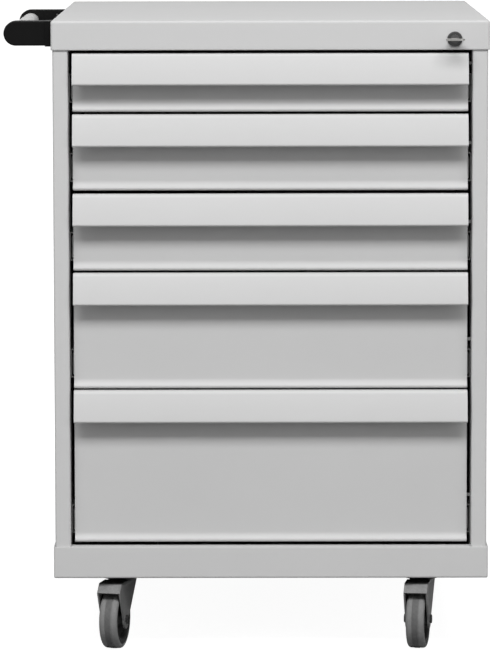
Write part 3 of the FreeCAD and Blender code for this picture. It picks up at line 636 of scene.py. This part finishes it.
def fork(castor):
    """The U from tip to tip, two skins a sheet apart, between its front and rear edges."""
    foot = AXLE_Z - TIP + 0.02
    corners = [(-LEG_OUT, foot), (-LEG_OUT, CROWN), (LEG_OUT, CROWN), (LEG_OUT, foot)]
    bends = rounded(corners, [FORK_BEND, FORK_BEND], steps=10)
    climb = foot + (bends[1, 1] - foot) * np.linspace(0, 1, LEG_ROWS)[:, None] ** 1.5
    left = np.concatenate([np.full_like(climb, -LEG_OUT), climb], axis=1)
    outer = np.concatenate([left, bends[2:-2], (left * (-1, 1))[::-1]])
    inner = outer.copy()
    inner[:, 0] *= (LEG_OUT - FORK_SHEET) / LEG_OUT
    in_bend = np.clip((inner[:, 1] - CROWN + FORK_BEND) / FORK_BEND, 0, 1)
    inner[:, 1] = np.minimum(inner[:, 1], CROWN) - FORK_SHEET * in_bend
    ring = np.concatenate([outer, inner[::-1]])
    front, rear = leg_edges(np.concatenate([outer, outer[::-1]])[:, 1], castor.startswith("rear"))
    share = np.linspace(0, 1, FORK_COLUMNS)[:, None]
    along = rear + (front - rear) * share
    across, height = [np.tile(ring[:, axis], (FORK_COLUMNS, 1)) for axis in (0, 1)]
    points = at_castor(castor, across, along, height)
    count = len(ring)
    rims = folded_strip_ends(count, (FORK_COLUMNS - 1) * count)
    faces = np.concatenate([grid_faces(FORK_COLUMNS, count, closed_rows=False), rims])
    return piece(f"{castor}_leg_sheet", points.reshape(-1, 3), faces, fork_coat, f"{castor}_swivel",
                 f"{castor}_fork")


def hood(castor):
    """The hood: across runs from leg to leg, while along and height follow the sheet's section."""
    top = CROWN - HOOD_BELOW_CROWN
    path = rounded([(HOOD_START, top), (HOOD_BEND - 1.0, top), (HOOD_EDGE, HOOD_FOOT)], [4.0])
    section = sheet_section(path)
    half = np.linspace(-1, 1, 2)[:, None] * (LEG_OUT - HOOD_INSET)
    points = at_castor(castor, half + 0 * section[:, 0], section[:, 0] + 0 * half, section[:, 1] + 0 * half)
    count = len(section)
    faces = np.concatenate([grid_faces(2, count, closed_rows=False), folded_strip_ends(count, count)])
    return piece(f"{castor}_hood", points.reshape(-1, 3), faces, fork_coat, f"{castor}_swivel",
                 None)


forks = [fork(castor) for castor in CASTORS]
hoods = [hood(castor) for castor in CASTORS if castor.startswith("front")]
print("forks:", len(forks), "hoods:", len(hoods))

# %% [markdown]
# ## Swivel heads
# Between each fork and its plate sits the swivel head: a ring of pressed steel, coated near black as painted
# shade, that covers the balls.
# Its section is a low cap with a rolled rim, turned about the swivel axis, and it turns with the fork.

# %% Swivel heads
HEAD_IN, HEAD_OUT, HEAD_FOOT, HEAD_TOP = 19.3, 24.0, 86.8, 92.3
HEAD_TURNS = 72


def swivel_head(castor):
    """A closed cap section turned about the swivel axis: (x, y) + radius * (cosine, sine)."""
    joint = JOINTS[f"{castor}_swivel_turn"]
    x, y = joint["pos_m"][0], joint["pos_m"][1]
    corners = [(HEAD_IN, HEAD_FOOT), (HEAD_OUT - 1.0, HEAD_FOOT), (HEAD_OUT, HEAD_FOOT + 3.0),
               (HEAD_OUT - 1.5, HEAD_TOP), (HEAD_IN, HEAD_TOP), (HEAD_IN, HEAD_FOOT)]
    section = rounded(corners, [1.0, 1.2, 0.6, 0.2], steps=4)[:-1]
    turns = np.linspace(0, 2 * math.pi, HEAD_TURNS, endpoint=False)[:, None]
    points = np.stack([x + np.cos(turns) * section[:, 0] * MM, y + np.sin(turns) * section[:, 0] * MM,
                       np.ones_like(turns) * section[:, 1] * MM], axis=-1)
    faces = grid_faces(HEAD_TURNS, len(section), closed_rows=True)
    return piece(f"{castor}_head", points.reshape(-1, 3), faces, swivel_shade_coat,
                 f"{castor}_swivel", None)


heads = [swivel_head(castor) for castor in CASTORS]
print("swivel heads:", len(heads))

# %% [markdown]
# ## Floor
# The object stands on a pale floor in a white room. The floor is white to the camera by a little light of
# its own, which the shadows under the base still darken. Far off it is plain white.

# %% Floor
FLOOR_HALF, FLOOR_GLOW, FAR_GLOW = 40.0, 0.95, 1.1
FLOOR_GREY = 0.35
GLOW_FROM, GLOW_TO = 0.5, 1.6


def make_floor():
    """A wide flat square on z = 0. Near the object its shade shows a little; far off it is plain white."""
    half = FLOOR_HALF
    corners = [(-half, -half, 0), (half, -half, 0), (half, half, 0), (-half, half, 0)]
    mesh = bpy.data.meshes.new("floor")
    mesh.from_pydata(corners, [], [(0, 1, 2, 3)])
    floor = bpy.data.objects.new("floor", mesh)
    bpy.context.scene.collection.objects.link(floor)
    pale = Finish("pale_floor", Roughness=0.9, Specular_IOR_Level=0.0)
    pale.surface.inputs["Base Color"].default_value = grey(FLOOR_GREY)
    here = pale.node("ShaderNodeTexCoord", output="Object")
    reach = pale.node("ShaderNodeVectorMath", {"operation": "LENGTH"}, {0: here}, output="Value")
    far = pale.node("ShaderNodeMapRange", {"interpolation_type": "SMOOTHSTEP"},
                    {"Value": reach, "From Min": GLOW_FROM, "From Max": GLOW_TO,
                     "To Min": FLOOR_GLOW, "To Max": FAR_GLOW})
    glow = pale.node("ShaderNodeEmission", inputs={"Color": grey(1.0), "Strength": far})
    plain = Value(pale, pale.surface.outputs[0])
    both = pale.node("ShaderNodeAddShader", inputs={0: plain, 1: glow})
    ray = pale.node("ShaderNodeLightPath", output="Is Camera Ray")
    seen = pale.node("ShaderNodeMixShader", inputs={0: ray, 1: plain, 2: both})
    pale.feed(pale.tree.nodes["Material Output"].inputs["Surface"], seen)
    mesh.materials.append(pale.material)
    return floor


make_floor()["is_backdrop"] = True
print("floor from", -FLOOR_HALF, "to", FLOOR_HALF)

# %% [markdown]
# ## Lights
# One big soft light hangs in front and above at about 49 degrees, so that the top and the front come out
# alike and the grip lips throw soft shadows. It is tall enough for the shadows' edges to fade over a
# finger's breadth. A weak one hangs above the back, and two more stand at the sides.

# %% Lights
def soft_light(name, place, target, size, power):
    """A rectangular area light that looks at a target."""
    lamp = bpy.data.lights.new(name, "AREA")
    lamp.shape = "RECTANGLE"
    lamp.size, lamp.size_y = size
    lamp.energy = power
    light = bpy.data.objects.new(name, lamp)
    aim = Vector(target) - Vector(place)
    light.rotation_euler = aim.to_track_quat("-Z", "Y").to_euler()
    light.location = place
    bpy.context.scene.collection.objects.link(light)


aim_point = (middle_x, front_y, 0.5)
soft_light("key_light", (middle_x, front_y - 3.667, 4.719), aim_point, (5.5, 1.6), 342.0)
soft_light("top_light", (middle_x, back_y, 4.4), (middle_x, back_y, 0.8), (2.4, 2.0), 2.0)
soft_light("right_light", (middle_x + 3.0, front_y - 2.6, 1.6), aim_point, (1.2, 1.6), 16.0)
soft_light("left_light", (middle_x - 3.0, front_y - 2.6, 1.6), aim_point, (1.2, 1.6), 13.0)
print("lights:", sorted(light.name for light in bpy.data.lights))

# %% [markdown]
# ## White room
# The world is plain white where the camera looks past the cabinet, and polished metal shows that white too.
# Everything else gets only a little even light from it, so that the gaps and the underside stay dark.

# %% White room
AMBIENT = 0.068


def white_room(world):
    """White to the camera and in reflections, and a weaker even light for everything else."""
    world.use_nodes = True
    room = Nodes(world.node_tree)
    camera = room.node("ShaderNodeLightPath", output="Is Camera Ray")
    glossy = room.node("ShaderNodeLightPath", output="Is Glossy Ray")
    through = room.node("ShaderNodeLightPath", output="Is Transmission Ray")
    shown = camera.math("MAXIMUM", camera, camera.math("MAXIMUM", glossy, through))
    background = room.tree.nodes["Background"]
    background.inputs["Color"].default_value = grey(1.0)
    room.feed(background.inputs["Strength"], AMBIENT + shown * (1.0 - AMBIENT))


bpy.context.scene.world = bpy.data.worlds.new("white_room")
white_room(bpy.context.scene.world)
print("even light of the room:", AMBIENT)

# %% [markdown]
# ## Camera
# The camera stands far off with a long lens, a little above the cabinet's top, and looks down by about six
# degrees. That is why the drawer fronts look almost flat while a thin strip of the top still shows. The
# numbers come from the photograph: the upright edges and the top's slanting edges fix the height, the
# distance and the tilt.

# %% Camera
PHOTO_HEIGHT_PX = 653
SENSOR_MM = 36.0
FOCAL_PX = 4384.0
camera_data = bpy.data.cameras.new("camera")
camera_data.lens = FOCAL_PX * SENSOR_MM / PHOTO_HEIGHT_PX
camera_data.sensor_width = SENSOR_MM
camera = bpy.data.objects.new("camera", camera_data)
bpy.context.scene.collection.objects.link(camera)
bpy.context.scene.camera = camera
camera_place = Vector((middle_x - 8.9 * MM, front_y - 5.490, top_z + 0.226))
yaw, pitch, roll = math.radians(-0.23), math.radians(6.350), math.radians(-0.11)
turn = Matrix.Rotation(-yaw, 4, "Z") @ Matrix.Rotation(math.pi / 2 - pitch, 4, "X")
turn = turn @ Matrix.Rotation(roll, 4, "Z")
camera.matrix_world = Matrix.Translation(camera_place) @ turn
camera_data.clip_end = 100.0
print("lens of", round(camera_data.lens, 1), "mm at", [round(number, 3) for number in camera_place])

bpy.context.scene.view_settings.view_transform = "Standard"

# %% [markdown]
# ## Sizes
# The box of the construction and the box of the dressed cabinet are both printed.

# %% Sizes, and the end
boxes = {"cad": construction_bounds, "visual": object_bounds()}
boxes = {name: [[float(number) for number in corner] for corner in box] for name, box in boxes.items()}
print("boxes:", boxes)
